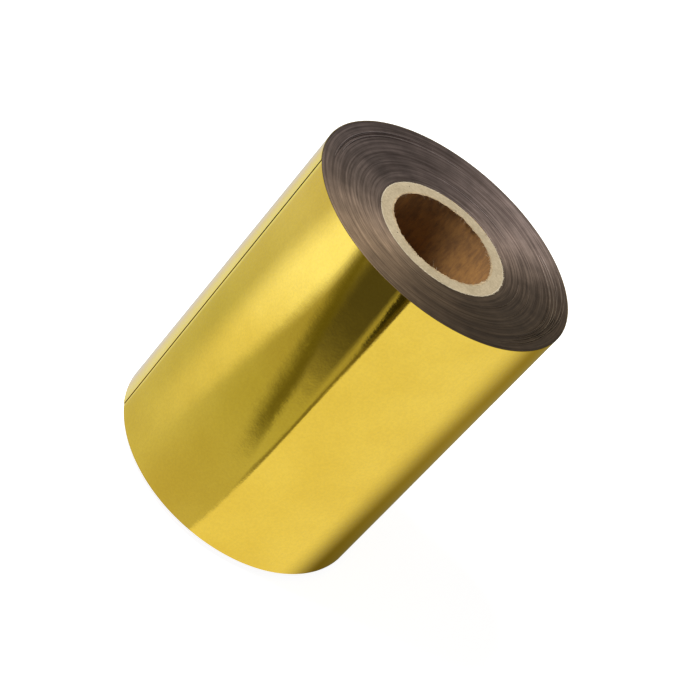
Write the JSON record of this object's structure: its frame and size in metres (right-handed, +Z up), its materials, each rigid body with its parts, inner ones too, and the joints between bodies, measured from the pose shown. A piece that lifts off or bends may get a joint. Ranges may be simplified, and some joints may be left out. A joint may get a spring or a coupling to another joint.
{
  "type": "roll of transfer film",
  "caption": "Roll of thin mirror-gold transfer film wound on a spiral paperboard core, with a free end that peels off.",
  "frame": {"origin": "centre of the core's lower end face, which the roll stands on", "axes": "+Z up along the bore; the film's free edge is on the -X side, 26 degrees towards -Y"},
  "size_m": [0.0639, 0.0637, 0.0818],
  "materials": {
    "core_liner": "matte brown kraft paper",
    "core_board": "matte pale chipboard, cut edge fuzzy",
    "core_wrap": "matte pale paper",
    "tape": "satin paper tape",
    "film_wound_edge": "cut edges of tightly wound film, dark brown-grey satin with fine rings",
    "film": "mirror-bright gold metallised film"
  },
  "bodies": {
    "roll": {"core_inner_liner": "core_liner", "core_ply_1": "core_board", "core_ply_2": "core_board", "core_ply_3": "core_board", "core_ply_4": "core_board", "core_ply_5": "core_board", "core_ply_6": "core_board", "core_outer_wrap": "core_wrap", "start_tape": "tape", "film_winding": "film_wound_edge", "film_outer_lap": "film"},
    "tail_1": {"film_tail_1": "film"},
    "tail_2": {"film_tail_2": "film"},
    "tail_3": {"film_tail_3": "film"},
    "tail_4": {"film_tail_4": "film"},
    "tail_5": {"film_tail_5": "film"},
    "tail_6": {"film_tail_6": "film"}
  },
  "joints": [
    {"name": "tail_bend_1", "type": "hinge", "parent": "roll", "child": "tail_1", "pos_m": [-0.01698, 0.02707, 0.0418], "axis": [0, 0, -1], "range_deg": [0, 7]},
    {"name": "tail_bend_2", "type": "hinge", "parent": "tail_1", "child": "tail_2", "pos_m": [-0.02303, 0.02217, 0.0418], "axis": [0, 0, -1], "range_deg": [0, 14]},
    {"name": "tail_bend_3", "type": "hinge", "parent": "tail_2", "child": "tail_3", "pos_m": [-0.02771, 0.01595, 0.0418], "axis": [0, 0, -1], "range_deg": [0, 14]},
    {"name": "tail_bend_4", "type": "hinge", "parent": "tail_3", "child": "tail_4", "pos_m": [-0.03076, 0.00878, 0.0418], "axis": [0, 0, -1], "range_deg": [0, 14]},
    {"name": "tail_bend_5", "type": "hinge", "parent": "tail_4", "child": "tail_5", "pos_m": [-0.03198, 0.00109, 0.0418], "axis": [0, 0, -1], "range_deg": [0, 14]},
    {"name": "tail_bend_6", "type": "hinge", "parent": "tail_5", "child": "tail_6", "pos_m": [-0.0313, -0.00666, 0.0418], "axis": [0, 0, -1], "range_deg": [0, 14]}
  ],
  "couplings": [
    {"joint": "tail_bend_2", "follows": "tail_bend_1", "ratio": 2},
    {"joint": "tail_bend_3", "follows": "tail_bend_1", "ratio": 2},
    {"joint": "tail_bend_4", "follows": "tail_bend_1", "ratio": 2},
    {"joint": "tail_bend_5", "follows": "tail_bend_1", "ratio": 2},
    {"joint": "tail_bend_6", "follows": "tail_bend_1", "ratio": 2}
  ]
}
